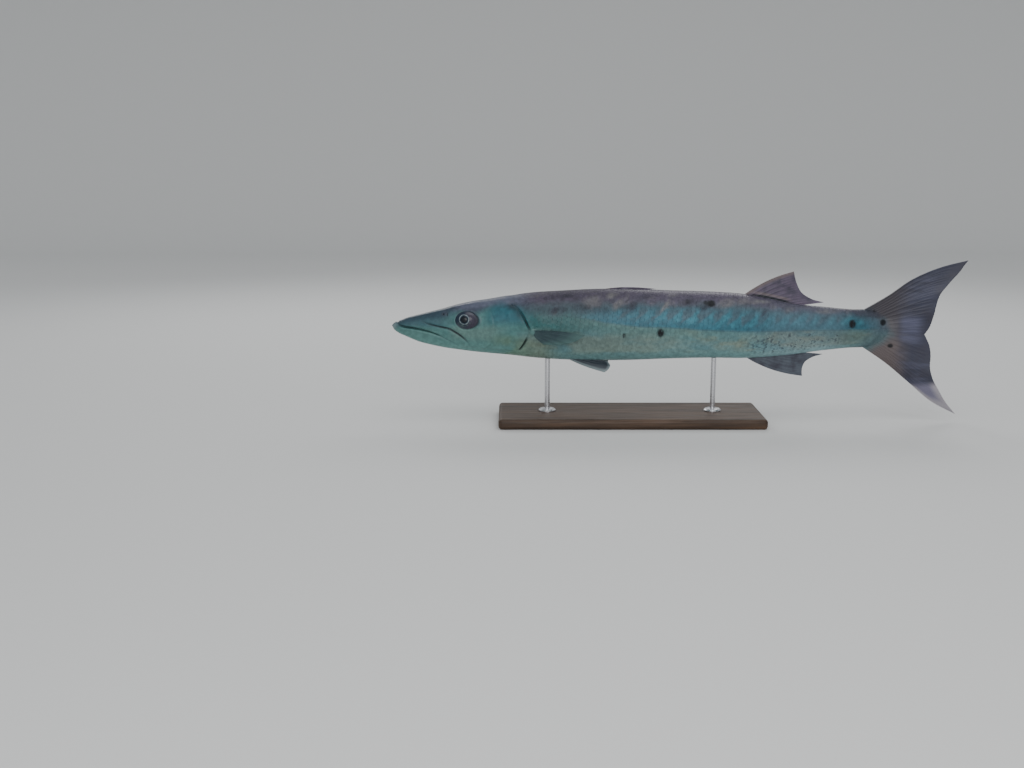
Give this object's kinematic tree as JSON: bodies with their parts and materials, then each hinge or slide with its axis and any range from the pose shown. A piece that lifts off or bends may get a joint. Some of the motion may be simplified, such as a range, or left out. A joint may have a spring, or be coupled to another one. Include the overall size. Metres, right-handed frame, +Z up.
{
  "type": "great barracuda display model",
  "caption": "Life-size great barracuda swimming level, long pointed jaw and forked tail, held by thin rods over a flat display base.",
  "frame": {"origin": "centre of the model's box in X and Y, on the floor under the stand's base", "axes": "+X along the fish towards its tail, the snout towards -X; +Y towards the fish's right side; +Z up"},
  "size_m": [0.9916, 0.15, 0.2829],
  "materials": {
    "skin": "wet-looking scaly fish skin, blue-green on the flank with a purple-grey back",
    "fin": "thin grey-violet fin membrane over raised rays",
    "eye": "polished, with a silver iris and a black pupil",
    "stand_wood": "dark satin varnish",
    "stand_steel": "satin"
  },
  "bodies": {
    "root": {"head": "skin", "lower_jaw": "skin", "upper_jaw_plate_left": "skin", "upper_jaw_plate_right": "skin", "gill_cover_left": "skin", "gill_cover_right": "skin", "eye_left": "eye", "eye_right": "eye", "body_front": "skin", "body_middle": "skin", "body_rear": "skin", "tail_stem": "skin", "first_dorsal_fin": "fin", "second_dorsal_fin": "fin", "anal_fin": "fin", "pectoral_fin_left": "fin", "pectoral_fin_right": "fin", "pelvic_fin_left": "fin", "pelvic_fin_right": "fin", "tail_fin_upper": "fin", "tail_fin_lower": "fin", "stand_base": "stand_wood", "stand_rod_front": "stand_steel", "stand_rod_rear": "stand_steel"}
  },
  "joints": []
}
